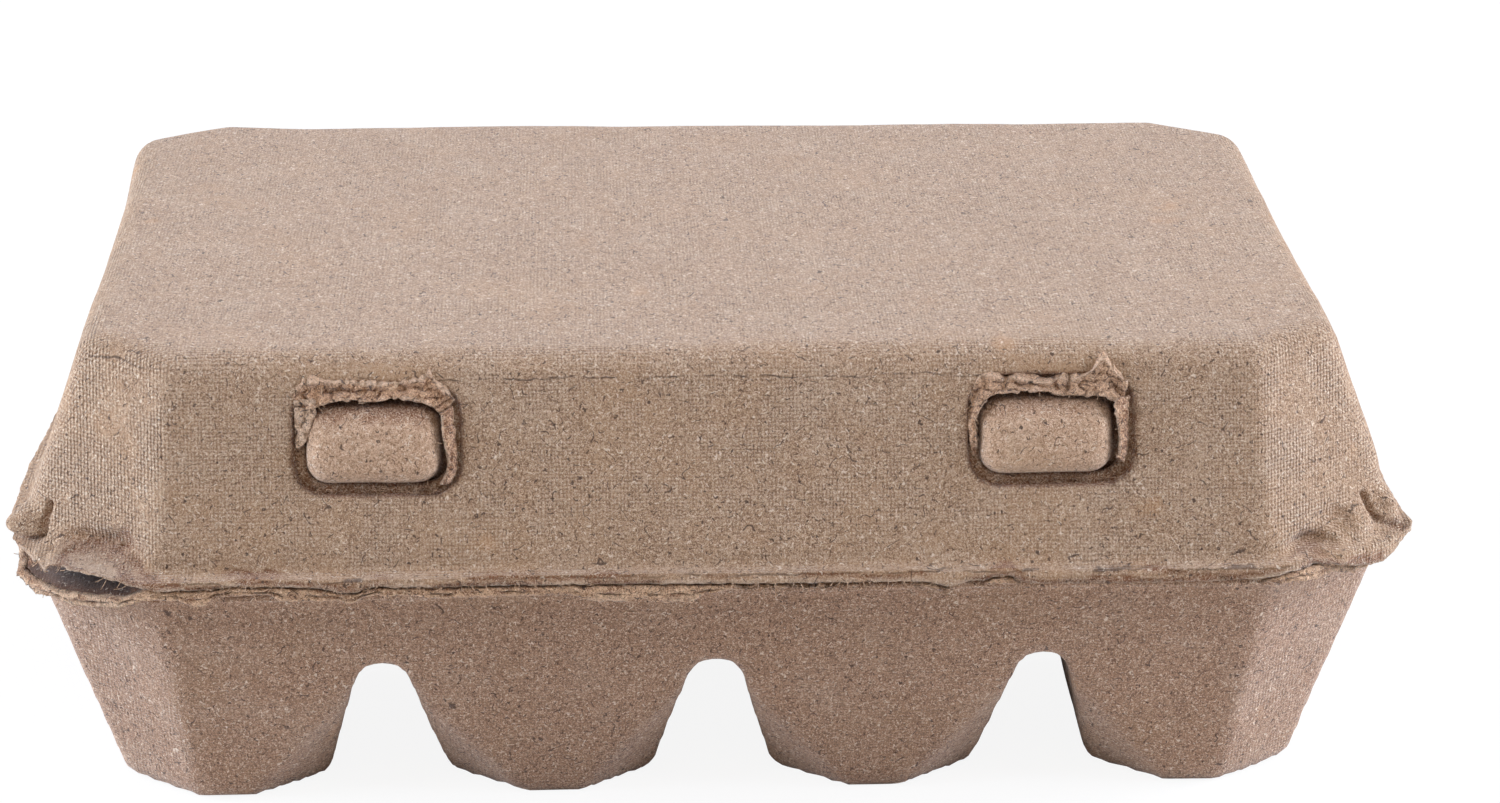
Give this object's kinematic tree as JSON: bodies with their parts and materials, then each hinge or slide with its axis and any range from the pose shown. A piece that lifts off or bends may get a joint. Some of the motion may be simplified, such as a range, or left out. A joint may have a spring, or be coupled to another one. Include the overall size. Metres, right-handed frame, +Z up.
{
  "type": "egg carton",
  "caption": "Hinged moulded-pulp egg carton with a chamfered lid, a cell tray on tapered legs and a two-button locking flap.",
  "frame": {"origin": "under the middle of the carton, in the plane of its feet", "axes": "+X along the length, -Y towards the latch side, +Y towards the hinge, +Z up"},
  "size_m": [0.2, 0.12, 0.07],
  "materials": {
    "pulp_tray": "raw moulded pulp",
    "pulp_lid": "raw moulded pulp, screen-marked",
    "pulp_flap": "raw moulded pulp"
  },
  "bodies": {
    "tray": {"tray": "pulp_tray", "locking_flap": "pulp_flap"},
    "lid": {"lid": "pulp_lid"}
  },
  "joints": [
    {"name": "lid_hinge", "type": "hinge", "parent": "tray", "child": "lid", "pos_m": [0, 0.0602, 0.0398], "axis": [-1, 0, 0], "range_deg": [0, 180], "deforming": ["locking_flap"]}
  ]
}
